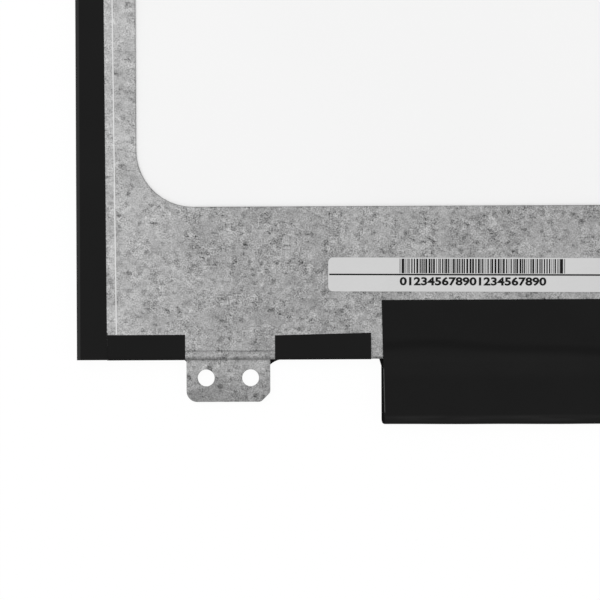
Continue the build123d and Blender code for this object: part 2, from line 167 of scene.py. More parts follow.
class Nodes:
    """A node tree to which one method adds any kind of node."""

    def __init__(self, tree):
        self.tree = tree
        self.tree.nodes.clear()

    def add(self, kind, settings=None, inputs=None, output=0):
        """Adds one node: its settings first, then the value or wire of each socket."""
        node = self.tree.nodes.new(kind)
        for name, value in (settings or {}).items():
            setattr(node, name, value)
        for key, value in (inputs or {}).items():
            if isinstance(value, Wire):
                self.tree.links.new(value.socket, node.inputs[key])
            else:
                node.inputs[key].default_value = value
        return None if output is None else Wire(self, node.outputs[output])


class Finish(Nodes):
    """A material, with the steps that finishes have in common."""

    def __init__(self, name):
        self.material = bpy.data.materials.new(name)
        self.material.use_nodes = True
        super().__init__(self.material.node_tree)

    def place(self):
        """The point on the piece, in millimetres."""
        point = self.add("ShaderNodeTexCoord", output="Object")
        return self.add("ShaderNodeVectorMath", {"operation": "SCALE"}, {0: point, "Scale": 1 / MM})

    def axes(self, vector):
        node = self.tree.nodes.new("ShaderNodeSeparateXYZ")
        self.tree.links.new(vector.socket, node.inputs[0])
        return [Wire(self, output) for output in node.outputs]

    def stretched(self, vector, scale, turn=0.0):
        """The same place with its axes stretched, after a turn about Z."""
        return self.add(
            "ShaderNodeMapping",
            {"vector_type": "TEXTURE"},
            {"Vector": vector, "Rotation": (0.0, 0.0, turn), "Scale": scale},
        )

    def cloud(self, vector, size, detail=2.0, rough=0.5):
        """Soft noise whose blots are about so many millimetres wide, from 0 to 1."""
        return self.add(
            "ShaderNodeTexNoise",
            {},
            {"Vector": vector, "Scale": 1 / size, "Detail": detail, "Roughness": rough},
        )

    def cells(self, vector, size, output="Distance", feature="F1", randomness=1.0):
        """Cells in the plane: the distance from a cell's middle, in cells, or its random colour."""
        return self.add(
            "ShaderNodeTexVoronoi",
            {"voronoi_dimensions": "2D", "feature": feature},
            {"Vector": vector, "Scale": 1 / size, "Randomness": randomness},
            output,
        )

    def blots(self, vector, size, ragged, chosen):
        """Ragged blots about half a cell wide, in the cells whose random number lies above chosen."""
        near = 1.0 - (self.cells(vector, size) + ragged).between(0.18, 0.32)
        return near * self.axes(self.cells(vector, size, "Color"))[1].between(chosen, 1.0)

    def mix(self, factor, first, second):
        """A colour between two colours."""
        return self.add(
            "ShaderNodeMix", {"data_type": "RGBA"}, {"Factor": factor, 6: first, 7: second}, 2
        )

    def grey(self, value):
        """A number as a grey colour."""
        return self.add("ShaderNodeCombineColor", {}, {0: value, 1: value, 2: value})

    def bump(self, height, depth, strength=1.0):
        """A height from 0 to 1, so many millimetres deep."""
        return self.add(
            "ShaderNodeBump", {}, {"Height": height, "Distance": depth * MM, "Strength": strength}
        )

    def surface(self, **sockets):
        """The main shader. A socket's name is written with _ for a space."""
        inputs = {name.replace("_", " "): value for name, value in sockets.items()}
        return self.output(self.add("ShaderNodeBsdfPrincipled", {}, inputs))

    def output(self, shader):
        end = self.tree.nodes.new("ShaderNodeOutputMaterial")
        self.tree.links.new(shader.socket, end.inputs["Surface"])
        return self.material


def rgb(red, green=None, blue=None):
    """A colour for a socket; one number makes a grey."""
    if green is None:
        green = blue = red
    return (red, green, blue, 1.0)


def shaded(colour, share):
    """The same colour with only this share of its light."""
    return rgb(*(part * share for part in colour[:3]))


def dress(material, *names):
    """Puts a finish on pieces of the solid model."""
    for name in names:
        slots = nodes[name].data.materials
        slots.clear()
        slots.append(material)
    print(material.name, "on", ", ".join(names))


# %% [markdown]
# ## Floor and light
# The panel lies on a pale table in soft light. The floor is a wide plane that looks white to the
# camera and to shiny surfaces, and still takes a little of the panel's shadow. The room gives most
# of the light, one large lamp from the upper left lights the rolled edges of the tape, which also
# have a painted sheen, and a weaker one from the lower right fills in.

# %% Floor, room and lamps
FLOOR_REACH = 3.0
FLOOR_DROP = 0.05 * MM
FLOOR_WHITE = 0.96
ROOM_LIGHT = 0.62
LAMP_WIDTH = 1.2
KEY_PLACE = (-0.60, 0.40, 1.45)
KEY_POWER = 10.8
FILL_PLACE = (0.90, -0.60, 1.40)
FILL_POWER = 4.0


def seen_directly(tree):
    """1 for what the camera, a mirror or glass sees, and 0 for light that only falls on things."""
    kinds = ("Camera", "Glossy", "Transmission")
    camera_ray, glossy_ray, clear_ray = (
        tree.add("ShaderNodeLightPath", {}, {}, f"Is {kind} Ray") for kind in kinds
    )
    return (camera_ray + glossy_ray + clear_ray).at_most(1.0)


def make_floor():
    mesh = bpy.data.meshes.new("floor")
    quarters = ((-1, -1), (1, -1), (1, 1), (-1, 1))
    corners = [(x * FLOOR_REACH, y * FLOOR_REACH, -FLOOR_DROP) for x, y in quarters]
    mesh.from_pydata(corners, [], [(0, 1, 2, 3)])
    floor = bpy.data.objects.new("floor", mesh)
    bpy.context.scene.collection.objects.link(floor)
    finish = Finish("floor_white")
    matt = finish.add("ShaderNodeBsdfDiffuse", {}, {"Color": rgb(1.0)})
    glow = finish.add("ShaderNodeEmission", {}, {"Color": rgb(1.0), "Strength": 1.0})
    shown = seen_directly(finish) * FLOOR_WHITE
    shader = finish.add("ShaderNodeMixShader", {}, {0: shown, 1: matt, 2: glow})
    mesh.materials.append(finish.output(shader))
    floor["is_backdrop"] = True


def make_room():
    world = bpy.data.worlds.new("room")
    world.use_nodes = True
    bpy.context.scene.world = world
    room = Nodes(world.node_tree)
    strength = ROOM_LIGHT + seen_directly(room) * (1.0 - ROOM_LIGHT)
    background = room.add("ShaderNodeBackground", {}, {"Color": rgb(1.0), "Strength": strength})
    room.add("ShaderNodeOutputWorld", {}, {"Surface": background}, None)


def make_lamp(name, place, power):
    """A square soft lamp that looks at the middle of the picture."""
    light = bpy.data.lights.new(name, "AREA")
    light.size = LAMP_WIDTH
    light.energy = power
    lamp = bpy.data.objects.new(name, light)
    bpy.context.scene.collection.objects.link(lamp)
    lamp.location = place
    target = Vector((camera.location.x, camera.location.y, 0.0))
    lamp.rotation_euler = (lamp.location - target).to_track_quat("Z", "Y").to_euler()


make_floor()
make_room()
make_lamp("key_lamp", KEY_PLACE, KEY_POWER)
make_lamp("fill_lamp", FILL_PLACE, FILL_POWER)
bpy.context.scene.view_settings.view_transform = "Standard"
print("floor, room and", len(bpy.data.lights), "lamps")

# %% [markdown]
# ## The steel plate
# The plate is zinc-coated sheet. Its surface is a fine patchwork of crystals: most are mid grey,
# some small ones are dark, and a few flecks are light. Layers of cells at different sizes, bent a
# little by noise, give that patchwork at the right scale. The plate's cut edge round the window
# rolls down where the punch entered, and the thin dark line along it is painted shade. Where that
# edge lies is read from the plate's own vertices. The crease across each tab's root is painted
# shade too, the tab is painted paler near its root and darker towards its end, and the steel near
# the panel's sides has a painted sheen.

# %% Measure the plate
WINDOW_MARGIN = 3.0

plate_points = nodes["back_plate"].data.vertices
flat_points = [v.co / MM for v in plate_points if back_z - v.co.z < 0.001 * MM]
tray_side = max(point.x for point in flat_points)
tray_low = min(point.y for point in flat_points)
tray_high = max(point.y for point in flat_points)
rim = [
    point
    for point in flat_points
    if abs(point.x) < tray_side - WINDOW_MARGIN
    and tray_low + WINDOW_MARGIN < point.y < tray_high - WINDOW_MARGIN
]
window_side = max(point.x for point in rim)
window_low = min(point.y for point in rim)
window_high = max(point.y for point in rim)
window_radius = min(point.y for point in rim if point.x == window_side) - window_low
tab_ends = sorted({round(p.x, 2) for p in flat_points if p.y == tray_low and 0 < p.x < tray_side - 1})
tab_x = sum(tab_ends) / len(tab_ends)
print("window", [round(v, 2) for v in (window_side, window_low, window_high, window_radius)])
print("right tab between", tab_ends, "middle", round(tab_x, 2))

# %% Zinc-coated steel
PLATE_GREY = 0.246
ZINC_METAL = 0.75
CONTRAST = 0.82
FINE_GRAIN = 0.25
ROUGH_GRAIN = 0.60
CRYSTAL = 0.62
DISC_CELL = 1.9
DISC_TONE = 0.12
BLOT_CELL = 1.6
BLOT_TONE = 0.105
FLECK_CELL = 1.0
FLECK_TONE = 0.095
THREAD_CELL = 1.5
THREAD_TONE = 0.12
SCRATCH_TONE = 0.06
SIDE_SHEEN = 0.049
SIDE_SHEEN_FROM = 6.0
SIDE_SHEEN_TO = 26.0
ROLLOVER = 0.20
ROLLOVER_SHADE = 0.38
CREASE_INSIDE = 0.78
CREASE_HALF = 0.26
CREASE_SHADE = 0.39
TAB_HALF_REACH = 7.6
TAB_STEP = (0.9, 0.4)
TAB_HIGHLIGHT = 0.11
TAB_END_DARKER = 0.36
EDGE_LINE = 0.25
EDGE_HIGHLIGHT = 0.68
THROUGH_STRIP = 1.06


def rim_distance(finish, x, y):
    """How far a point lies outside the window's edge, in millimetres."""
    middle = (window_low + window_high) / 2
    across = abs(x) - (window_side - window_radius)
    along = abs(y - middle) - ((window_high - window_low) / 2 - window_radius)
    outside = (across.at_least(0.0) ** 2.0 + along.at_least(0.0) ** 2.0) ** 0.5
    return outside + across.at_least(along).at_most(0.0) - window_radius


def spangle(finish, point):
    """The patchwork of zinc crystals, as a number to add to a grey, with two numbers for its relief."""
    drift = finish.add("ShaderNodeTexNoise", {}, {"Vector": point, "Scale": 1.5, "Detail": 2.0}, "Color")
    drift = finish.add("ShaderNodeVectorMath", {"operation": "SUBTRACT"}, {0: drift, 1: (0.5, 0.5, 0.5)})
    bent = finish.add(
        "ShaderNodeVectorMath", {"operation": "MULTIPLY_ADD"}, {0: drift, 1: (0.9, 0.7, 0.9), 2: point}
    )
    leaning = finish.stretched(bent, (1.9, 0.75, 1.0), math.radians(-14))
    upright = finish.stretched(bent, (0.8, 1.5, 1.0), math.radians(12))
    fine = finish.cloud(point, FINE_GRAIN, 1.0)
    rough = finish.cloud(point, ROUGH_GRAIN, 2.0, 0.6) - 0.5
    busy = finish.cloud(point, 3.0, 1.0).between(0.36, 0.62)
    slow = finish.cloud(point, 4.5) - 0.5
    facet = finish.axes(finish.cells(bent, CRYSTAL, "Color"))
    disc = 1.0 - (finish.cells(bent, DISC_CELL) + rough * 0.17).between(0.30, 0.36)
    disc = disc * (finish.axes(finish.cells(bent, DISC_CELL, "Color"))[0] - 0.55)
    dark = finish.blots(bent, BLOT_CELL, rough * 0.36, 0.45) * BLOT_TONE
    dark = dark + finish.blots(leaning, FLECK_CELL, rough * 0.42, 0.66) * FLECK_TONE
    thread = 1.0 - abs(finish.cloud(upright, THREAD_CELL, 1.0) - 0.5).between(0.012, 0.035)
    bright = thread * finish.cloud(point, 2.2, 1.0).between(0.55, 0.72)
    tone = (fine - 0.5) * (0.42 + 0.30 * busy) + (facet[0] - 0.5) * (0.05 + 0.07 * busy)
    tone = tone + rough * 0.20 + slow * 0.20 + disc * DISC_TONE - dark + bright * THREAD_TONE
    return tone * CONTRAST, facet[1], fine


def scratches(finish, point):
    """A few thin light scratches, mostly along one slant."""
    marks = finish.cloud(finish.stretched(point, (7.0, 0.10, 7.0), math.radians(-27)), 1.0, 1.0)
    patch = finish.cloud(point, 9.0, 1.0)
    return marks.between(0.74, 0.80) * patch.between(0.50, 0.62)


def zinc_steel(name="zinc_steel", strip=None):
    """The steel, or the steel as it is seen through a clear strip whose inner edge is given, with a
    painted highlight along that edge.
    """
    finish = Finish(name)
    point = finish.place()
    x, y, z = finish.axes(point)
    tone, facet, fine = spangle(finish, point)
    smear = finish.cloud(finish.stretched(point, (5.0, 0.8, 1.0)), 1.0, 3.0) - 0.5
    # The window's rolled edge: a bump, and a painted shade line in the colour.
    edge = 1.0 - rim_distance(finish, x, y).between(0.04, ROLLOVER)
    # Painted sheen: the steel is painted paler near the panel's sides.
    side_sheen = 1.0 - (tray_side - abs(x)).between(SIDE_SHEEN_FROM, SIDE_SHEEN_TO)
    from_edge = (tray_high - tray_low) / 2 - abs(y - (tray_high + tray_low) / 2)
    at_tab = 1.0 - abs(abs(x) - tab_x).between(TAB_HALF_REACH, TAB_HALF_REACH + 0.5)
    # Painted shade in the crease across each tab's root; the same mask also sinks a shallow groove in the
    # bump.
    crease = (1.0 - abs(from_edge - CREASE_INSIDE + smear * 0.3).between(0.02, CREASE_HALF)) * at_tab
    crease = crease * (1.0 + smear * 1.6).at_most(1.2)
    # Painted highlight: the tab is paler near its root; it also gets darker towards its end.
    outward = (0.0 - from_edge).between(1.0, 7.0)
    on_tab = 1.0 - z.between(*(back_z / MM - depth for depth in TAB_STEP))
    grey = PLATE_GREY + tone + side_sheen * SIDE_SHEEN + scratches(finish, point) * SCRATCH_TONE
    grey = grey * (1.0 - edge * ROLLOVER_SHADE) * (1.0 - crease * CREASE_SHADE)
    grey = grey * (1.0 + on_tab * (TAB_HIGHLIGHT - TAB_END_DARKER * outward))
    bright = 0.0
    if strip:
        start, slope = strip
        # Painted highlight: the strip's cut edge as one thin bright line.
        bright = 1.0 - abs(x - (start + slope * y)).between(EDGE_LINE * 0.4, EDGE_LINE)
        grey = grey * THROUGH_STRIP
        grey = grey + (EDGE_HIGHLIGHT - grey) * bright
    height = facet * 0.4 + fine * 0.6 - crease * 1.5 - edge * 1.0
    return finish.surface(
        Base_Color=finish.grey(grey.at_least(0.02)),
        Metallic=ZINC_METAL * (1.0 - bright),
        Roughness=(0.42 + fine * 0.22).at_most(0.8),
        Normal=finish.bump(height, 0.012, 0.5),
    )


dress(zinc_steel(), "back_plate")

# %% [markdown]
# ## Tape, moulding and film
# Three black things meet at the panel's edge. The tape has a fine paper-like grain and a weak sheen,
# with a painted sheen where it bends over the short sides. The moulding is plainer. The film is
# smoother than both, and the soft bands where it bends are painted light and shade. All are nearly
# black, so the difference is in how rough they are more than in their colour.

# %% Black finishes
BLACK = 0.0116
RUBBERY = 1.06
GLOSSY = 1.45
BEND_SHEEN = 0.019


def black_finish(name, black, grain_size, grain_depth, roughness, index=RUBBERY, bend_sheen=0.0):
    """A black piece. A low refractive index keeps its rims from shining white in a white room.

    bend_sheen is a painted sheen: how much paler the tape is where it bends down over the panel's short
    sides.
    """
    finish = Finish(name)
    point = finish.place()
    x, _, _ = finish.axes(point)
    grain = finish.cloud(point, grain_size, 3.0, 0.6)
    slow = finish.cloud(point, 11.0, 2.0)
    # Painted sheen where the tape bends down over the panel's short sides.
    bend = (abs(x) - tray_side).between(0.0, 0.22)
    return finish.surface(
        Base_Color=finish.grey(black * (0.85 + 0.2 * slow + 0.1 * grain) + bend_sheen * bend),
        Roughness=roughness + 0.12 * (slow - 0.5) + 0.06 * (grain - 0.5),
        IOR=index,
        Normal=finish.bump(grain, grain_depth, 0.4),
    )


dress(
    black_finish("black_tape", BLACK, 0.22, 0.010, 0.42, bend_sheen=BEND_SHEEN),
    "left_edge_tape", "right_edge_tape", "corner_tapes", "inner_tapes",
    "top_middle_tape", "cell_gasket_tape",
)
dress(black_finish("black_moulding", BLACK * 0.8, 0.35, 0.015, 0.5), "mould_frame")
dress(
    black_finish("chip_black", BLACK * 1.7, 0.10, 0.008, 0.55, GLOSSY),
    "timing_controller", "memory_chip", "power_chip", "backlight_driver",
)
dress(black_finish("ferrite", BLACK * 3.3, 0.25, 0.02, 0.6, GLOSSY), "power_inductors")
dress(black_finish("chip_silicon", BLACK * 2.8, 0.5, 0.004, 0.2, GLOSSY), "driver_chips")
dress(
    black_finish("polariser", BLACK * 0.8, 0.06, 0.002, 0.28, GLOSSY),
    "front_polariser", "rear_polariser",
)

# %% [markdown]
# ## The clear strip
# A strip of clear film lies under the side tape and sticks out a little on the steel. It can be
# told from bare steel only by a slightly paler tone and by its cut edge, which catches the light as
# one thin bright line, painted here as a highlight. So the strip is given the look of the steel
# under it. The edge isn't quite upright, and its slant is read from the strip's own corners.

# %% Clear strips


def strip_edge(name):
    """The strip's inner edge as X = start + slope * Y, in millimetres."""
    flat = [v.co / MM for v in nodes[name].data.vertices if v.co.z > back_z]
    inner = {}
    for corner in sorted(flat, key=lambda p: -abs(p.x)):
        inner[round(corner.y, 2)] = corner.x
    (y0, x0), (y1, x1) = sorted(inner.items())
    slope = (x1 - x0) / (y1 - y0)
    return x0 - slope * y0, slope


for strip in ("left_clear_strip", "right_clear_strip"):
    dress(zinc_steel(strip + "_on_steel", strip_edge(strip)), strip)

# %% [markdown]
# ## White pieces
# The reflector behind the light guide is a matt white film. It is the brightest thing here, so its
# white stays a little below full, and only a slow change of tone keeps it from looking cut out.

# %% White finishes
REFLECTOR_WHITE = 0.885


def white_finish(name, colour, tone, roughness):
    finish = Finish(name)
    point = finish.place()
    slow = finish.cloud(point, 60.0, 2.0)
    fine = finish.cloud(point, 0.4, 2.0)
    return finish.surface(
        Base_Color=finish.mix(slow, colour, shaded(colour, 1.0 - tone)),
        Roughness=roughness + 0.1 * (fine - 0.5),
        Specular_IOR_Level=0.25,
        Normal=finish.bump(fine, 0.004, 0.3),
    )


dress(white_finish("white_reflector", rgb(REFLECTOR_WHITE), 0.05, 0.45), "reflector_sheet")
dress(white_finish("diffuser_film", rgb(0.82), 0.04, 0.5), "diffuser_sheet")
dress(white_finish("white_flex", rgb(0.78, 0.78, 0.75), 0.08, 0.4), "led_flex")
dress(white_finish("adhesive_tape", rgb(0.60, 0.60, 0.57), 0.10, 0.6), "led_adhesive_tape")
dress(white_finish("ceramic_white", rgb(0.78, 0.78, 0.75), 0.10, 0.35), "fuse")
dress(
    white_finish("socket_moulding", rgb(0.60, 0.57, 0.50), 0.10, 0.45),
    "led_flex_socket", "connector_housing",
)

# %% [markdown]
# ## Glass, clear films and the light guide
# The two glasses and the prism films are clear. The light guide is clear acrylic with tiny white
# dots that let the light out. The dots are one cell pattern with hardly any randomness.

# %% Clear finishes


def clear_finish(name, colour, roughness, dots=0.0):
    finish = Finish(name)
    point = finish.place()
    faint = finish.cloud(point, 20.0, 1.0)
    shade = finish.mix(faint, colour, shaded(colour, 0.96))
    if dots:
        dot = 1.0 - finish.cells(point, dots, randomness=0.15).between(0.22, 0.30)
        shade = finish.mix(dot * 0.6, shade, rgb(0.95))
    return finish.surface(
        Base_Color=shade, Roughness=roughness + 0.05 * faint, Transmission_Weight=0.75, IOR=1.49
    )


dress(clear_finish("cell_glass", rgb(0.80, 0.86, 0.84), 0.03), "colour_filter_glass", "tft_glass")
dress(clear_finish("prism_film", rgb(0.86, 0.87, 0.88), 0.25), "upper_prism_sheet", "lower_prism_sheet")
dress(clear_finish("light_guide", rgb(0.88, 0.92, 0.92), 0.05, 0.9), "light_guide")

# %% [markdown]
# ## The circuit board and its parts
# The board hides under the film, but its parts show at the connector's notch and at the film's open
# ends. Solder mask is a thin glossy green over copper tracks, so the tracks show as a paler green.

# %% Board finishes


def board_finish():
    finish = Finish("circuit_board")
    point = finish.place()
    track = finish.cells(finish.stretched(point, (4.0, 0.7, 1.0)), 1.0, feature="DISTANCE_TO_EDGE")
    line = 1.0 - track.between(0.04, 0.09)
    weave = finish.cloud(point, 0.5, 2.0)
    colour = finish.mix(line, rgb(0.012, 0.085, 0.030), rgb(0.030, 0.150, 0.055))
    return finish.surface(
        Base_Color=colour, Roughness=0.25 + 0.15 * weave, Normal=finish.bump(line, 0.02, 0.5)
    )


def capped_finish(name, pitch, start, cap, body):
    """A chip part's body with a metal cap at each end; parts repeat along X."""
    finish = Finish(name)
    point = finish.place()
    x, _, _ = finish.axes(point)
    along = finish.add("ShaderNodeMath", {"operation": "FRACT"}, {0: (x - start) / pitch})
    length = cap[1] / pitch
    from_end = along.at_most(length - along)
    metal = 1.0 - from_end.between(cap[0] / pitch - 0.01, cap[0] / pitch + 0.01)
    grain = finish.cloud(point, 0.15, 2.0)
    return finish.surface(
        Base_Color=finish.mix(metal, body, rgb(0.62, 0.61, 0.58)),
        Metallic=metal,
        Roughness=0.45 - 0.15 * metal + 0.1 * grain,
    )


def flex_finish():
    finish = Finish("flex_film")
    point = finish.place()
    x, _, _ = finish.axes(point)
    stripe = finish.add("ShaderNodeMath", {"operation": "PINGPONG"}, {0: x, 1: 0.2})
    copper = stripe.between(0.07, 0.12)
    return finish.surface(
        Base_Color=finish.mix(copper, rgb(0.40, 0.17, 0.03), rgb(0.55, 0.27, 0.07)),
        Roughness=0.30 + 0.10 * finish.cloud(point, 2.0),
        Normal=finish.bump(copper, 0.01, 0.4),
    )


def metal_finish(name, colour, roughness):
    finish = Finish(name)
    point = finish.place()
    brushed = finish.cloud(finish.stretched(point, (6.0, 0.3, 1.0)), 0.5, 3.0)
    worn = finish.cloud(point, 1.2, 2.0)
    return finish.surface(
        Base_Color=finish.mix(worn, colour, shaded(colour, 0.8)),
        Metallic=1.0,
        Roughness=roughness + 0.15 * brushed,
        Normal=finish.bump(brushed, 0.003, 0.4),
    )


def led_finish():
    """A white package whose yellow face looks at the light guide."""
    low, high = (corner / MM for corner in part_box("leds"))
    finish = Finish("led_white")
    point = finish.place()
    _, y, _ = finish.axes(point)
    face = y.between(high.y - 0.08, high.y - 0.02)
    speck = finish.cloud(point, 0.1, 2.0)
    return finish.surface(
        Base_Color=finish.mix(face, rgb(0.82), rgb(0.80, 0.66, 0.10)), Roughness=0.35 + 0.1 * speck
    )


def chip_row(node, pitch, length, cap, name, body):
    """The finish of a row of chip parts whose first part starts at the node's low end."""
    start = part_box(node)[0].x / MM
    dress(capped_finish(name, pitch, start, (cap, length), body), node)


dress(board_finish(), "control_board")
chip_row("capacitors", 3.6, 1.6, 0.32, "ceramic_tan", rgb(0.42, 0.29, 0.17))
chip_row("resistors", 2.6, 1.0, 0.22, "resistor_black", rgb(0.02))
dress(flex_finish(), "panel_flexes")
dress(metal_finish("plated_shell", rgb(0.58, 0.58, 0.56), 0.25), "connector_shell")
dress(metal_finish("gold_contact", rgb(0.83, 0.60, 0.22), 0.20), "connector_contacts")
dress(led_finish(), "leds")

# %% [markdown]
# ## The black film over the board
# One sheet of black film is stuck to the plate, lifts over the board's parts, rolls round the
# board's outer edge and goes back under the board. Flat solids can't show how it gives: it sags in
# a soft wave where the plate ends, sinks in faint ripples past it, swells at the board's edge, and its
# ends aren't quite square. So it is made again here as a fine mesh: one rolled profile, carried along
# the panel.

# %% Measure the film
film_low, film_high = (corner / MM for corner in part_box("board_cover_film"))
film_points = [v.co / MM for v in nodes["board_cover_film"].data.vertices]
film_top_side = max(p.x for p in film_points if p.z > film_high.z - 0.01)
notch_points = [p for p in film_points if 0 < p.x < film_top_side - 1 and p.z > film_high.z - 0.01]
notch_left = min(p.x for p in notch_points)
notch_right = max(p.x for p in notch_points)
notch_top = max(p.y for p in notch_points)
notch_floor = min(p.z for p in film_points if abs(p.x - notch_left) < 0.01)
print("film", [round(v, 2) for v in (*film_low, *film_high)], "half length", round(film_top_side, 2))
print("notch", [round(v, 2) for v in (notch_left, notch_right, notch_top, notch_floor)])

# %% A rounded path
FILM = 0.12
LIFT_FROM = 2.7
LIFT_TO = -0.4
SOFT_BEND = 1.5
ROLL_RADIUS = 1.15
PATH_STEP = 0.42
BEND_STEP = 0.16


def straight(start, end):
    """Points from start to just before end."""
    count = max(1, math.ceil((end - start).length / PATH_STEP))
    return [start.lerp(end, i / count) for i in range(count)]


def rounded_path(corners, radii):
    """Straight runs joined by arcs, as a list of points."""
    points = []
    last = corners[0]
    for before, corner, after, radius in zip(corners, corners[1:], corners[2:], radii):
        into = (corner - before).normalized()
        out = (after - corner).normalized()
        turn = math.atan2(into.x * out.y - into.y * out.x, into.dot(out))
        start = corner - into * radius * math.tan(abs(turn) / 2)
        spoke = Vector((into.y, -into.x)) * math.copysign(radius, turn)
        points += straight(last, start)
        count = max(4, math.ceil(radius * abs(turn) / BEND_STEP))
        points += [start - spoke + Matrix.Rotation(turn * i / count, 2) @ spoke for i in range(count)]
        last = corner + out * radius * math.tan(abs(turn) / 2)
    return points + straight(last, corners[-1]) + [corners[-1]]


front_end = max(p.y for p in film_points if p.z < film_low.z + 2 * FILM)
edge_y = lower_edge / MM
film_corners = [
    Vector((film_high.y, back_z / MM + FILM / 2)),
    Vector((edge_y + LIFT_FROM, back_z / MM + FILM / 2)),
    Vector((edge_y + LIFT_TO, film_high.z - FILM / 2)),
    Vector((film_low.y + FILM / 2, film_high.z - FILM / 2)),
    Vector((film_low.y + FILM / 2, film_low.z + FILM / 2)),
    Vector((front_end, film_low.z + FILM / 2)),
]
film_path = rounded_path(film_corners, [SOFT_BEND, SOFT_BEND, ROLL_RADIUS, ROLL_RADIUS])
print("film's profile:", len(film_path), "points")

# %% The film as a mesh
STATION_STEP = 1.25
END_STATIONS = (0.15, 0.4, 0.8)
LOWER_LAYER = 0.4
BETWEEN_LAYERS = 1.2
UPPER_LAYER = 2.4
SINK = 0.11
SINK_GROWS = (0.2, 2.2)
LONG_RIPPLE = (17.0, 6.5)
SHORT_RIPPLE = (6.0, 4.0)
SAG = 0.05
SAG_OUTSIDE_CREASE = 0.2
SAG_WIDTH = 1.1
SAG_LENGTH = 9.0
LAID_LOW = 0.10
BULGE = 0.20
BULGE_GROWS = (-12.0, 30.0)
EDGE_WAVE = 0.05
EDGE_WAVE_LENGTH = 11.0
END_OUT = 0.13
END_SLANT = 0.42
END_REACH = 3.0
FRONT_PROUD = 0.7 * (film_high.x - film_top_side)
CREASE_FROM_EDGE = 1.60
CREASE_WAVES = ((0.75, 75.0, 7.0), (0.20, 23.0, 8.0))


def crease_line(x, cosine):
    """Where the crease over the plate's edge lies, as a Y; x is a number or a wire in a material."""
    waves = (
        height * cosine((x + (film_top_side - start)) * (2.0 * math.pi / length))
        for height, length, start in CREASE_WAVES
    )
    return edge_y + CREASE_FROM_EDGE + sum(waves)


def share(value, low, high):
    """How far value has come from low to high, from 0 to 1."""
    return min(1.0, max(0.0, (value - low) / (high - low)))


def stations():
    """The places along X, close together at the ends, with one on each side of the notch."""
    count = round(2 * film_top_side / STATION_STEP)
    places = [-film_top_side + 2 * film_top_side * i / count for i in range(count + 1)]
    places = [x for x in places if min(abs(x - notch_left), abs(x - notch_right)) > STATION_STEP / 3]
    ends = [side * (film_top_side - gap) for side in (-1, 1) for gap in END_STATIONS]
    return sorted(places + [notch_left, notch_right] + ends)


def soften(x, y, z):
    """Where a point of the film comes to lie once the film gives a little."""
    high = share(z, BETWEEN_LAYERS, UPPER_LAYER)
    outer = share(edge_y - y, 0.0, edge_y - film_low.y)
    over_board = high * share(edge_y - y, *SINK_GROWS)
    ripple = noise.noise(Vector((x / LONG_RIPPLE[0], y / LONG_RIPPLE[1], 3.0)))
    ripple += 0.5 * noise.noise(Vector((x / SHORT_RIPPLE[0], y / SHORT_RIPPLE[1], 9.0)))
    gap = (y - crease_line(x, math.cos) + SAG_OUTSIDE_CREASE) / SAG_WIDTH
    dz = -SINK * share(ripple, -1.0, 1.0) * over_board
    dz -= SAG * math.exp(-gap * gap) * high * (1.0 + 0.5 * noise.noise(Vector((x / SAG_LENGTH, 5.0, 0.0))))
    from_end = film_top_side - abs(x)
    wave = EDGE_WAVE * noise.noise(Vector((x / EDGE_WAVE_LENGTH, 7.0, z)))
    dy = -LAID_LOW - (BULGE * share(from_end, *BULGE_GROWS) + wave) * outer
    end = share(from_end, END_REACH, 0.0)
    along = share(y, film_high.y, film_low.y)
    proud = FRONT_PROUD * share(z, BETWEEN_LAYERS, LOWER_LAYER)
    dx = math.copysign(end, x) * (proud + (END_OUT - END_SLANT * along) * high)
    return (x + dx, y + dy * high, z + dz)


def in_notch(x, y, z):
    return notch_left < x < notch_right and y < notch_top and z > notch_floor


def make_film():
    mesh = bpy.data.meshes.new("board_film")
    film = bpy.data.objects.new("board_film", mesh)
    bpy.context.scene.collection.objects.link(film)
    places = stations()
    builder = bmesh.new()
    rows = [[builder.verts.new([v * MM for v in soften(x, p.x, p.y)]) for p in film_path] for x in places]
    for i, (x0, x1) in enumerate(zip(places, places[1:])):
        for j, (p0, p1) in enumerate(zip(film_path, film_path[1:])):
            middle = (p0 + p1) / 2
            if not in_notch((x0 + x1) / 2, middle.x, middle.y):
                builder.faces.new((rows[i][j], rows[i][j + 1], rows[i + 1][j + 1], rows[i + 1][j]))
    loose = [vertex for vertex in builder.verts if not vertex.link_faces]
    bmesh.ops.delete(builder, geom=loose, context="VERTS")
    for face in builder.faces:
        face.smooth = True
    builder.to_mesh(mesh)
    builder.free()
    wall = film.modifiers.new("thickness", "SOLIDIFY")
    wall.thickness = FILM * MM
    wall.offset = 0.0
    return film


def plain_mesh(piece):
    """Applies a piece's modifiers and leaves one plain mesh."""
    graph = bpy.context.evaluated_depsgraph_get()
    result = bpy.data.meshes.new_from_object(piece.evaluated_get(graph))
    piece.modifiers.clear()
    piece.data = result
    return piece


film = plain_mesh(make_film())
print("film:", len(film.data.polygons), "faces")

# %% The film's finish
FILM_BLACK = 0.0112
TOP_FROM = 1.9
FILM_CREASE_SHADE = 0.22
SHOULDER_OUTSIDE = 0.9
SHOULDER_LIGHT = 0.13
ROLL_INSIDE = 0.78
ROLL_HIGHLIGHT = 0.75
CUT_WIDTH = 0.14
CUT_FROM_PLATE = 1.2
CUT_FROM_BEND = 1.6
CUT_HIGHLIGHT = 0.07


